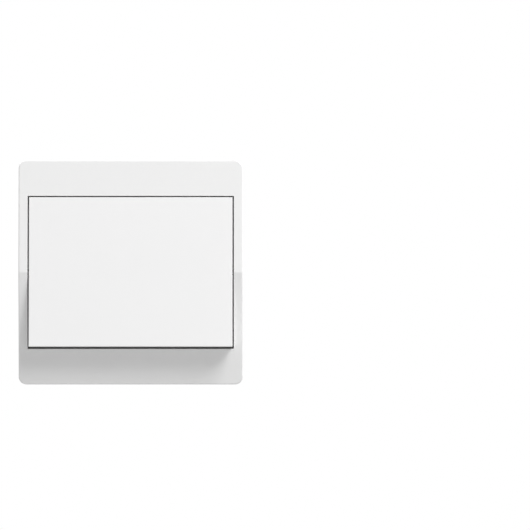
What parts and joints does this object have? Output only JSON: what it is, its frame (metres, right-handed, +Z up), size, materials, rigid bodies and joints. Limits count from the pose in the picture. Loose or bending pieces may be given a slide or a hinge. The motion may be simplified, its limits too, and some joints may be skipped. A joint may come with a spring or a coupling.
{
  "type": "wireless remote wall switch",
  "caption": "Square white wall plate with a shallow ridge and one large see-saw rocker, which tips a small generator that powers a radio board.",
  "frame": {"origin": "centre of the back face, on the wall", "axes": "+X to the right and +Z up as seen by someone facing the switch, +Y into the wall; the rocker faces -Y"},
  "size_m": [0.086, 0.0153, 0.086],
  "materials": {
    "plate_white": "satin white",
    "rocker_white": "satin white",
    "tray_white": "matt white",
    "stop_rubber": "soft black",
    "core_iron": "bare sheared edge",
    "bobbin_black": "moulded black",
    "copper_wire": "enamelled copper",
    "tinned_pin": "tinned",
    "bracket_grey": "moulded dark grey",
    "nickel_plate": "nickel plated",
    "pole_steel": "rolled sheet",
    "carrier_white": "moulded natural",
    "spring_steel": "rolled strip",
    "board_green": "solder mask",
    "chip_black": "moulded epoxy",
    "capacitor_sleeve": "shrunk sleeve",
    "crystal_can": "drawn can",
    "resistor_black": "glazed top",
    "ceramic_tan": "fired ceramic",
    "screw_steel": "zinc plated"
  },
  "bodies": {
    "housing": {"front_frame": "plate_white", "base_tray": "tray_white", "stop_pads": "stop_rubber", "generator_core": "core_iron", "coil_bobbin": "bobbin_black", "coil_winding": "copper_wire", "coil_terminals": "tinned_pin", "generator_bracket": "bracket_grey", "circuit_board": "board_green", "transmitter_chip": "chip_black", "encoder_chip": "chip_black", "storage_capacitor": "capacitor_sleeve", "rectifier": "chip_black", "crystal": "crystal_can", "chip_resistors": "resistor_black", "chip_capacitors": "ceramic_tan", "antenna_wire": "copper_wire", "board_screws": "screw_steel", "bracket_screws": "screw_steel"},
    "rocker": {"rocker": "rocker_white"},
    "armature": {"magnet": "nickel_plate", "front_pole_plate": "pole_steel", "rear_pole_plate": "pole_steel", "magnet_carrier": "carrier_white", "drive_spring": "spring_steel"}
  },
  "joints": [
    {"name": "rocker_pivot", "type": "hinge", "parent": "housing", "child": "rocker", "pos_m": [0, -0.0101, 0], "axis": [1, 0, 0], "range_deg": [0, 11]},
    {"name": "armature_pivot", "type": "hinge", "parent": "housing", "child": "armature", "pos_m": [0, -0.00543, 0], "axis": [1, 0, 0], "range_deg": [0, 11]}
  ],
  "couplings": [
    {"joint": "armature_pivot", "follows": "rocker_pivot", "ratio": 1}
  ]
}
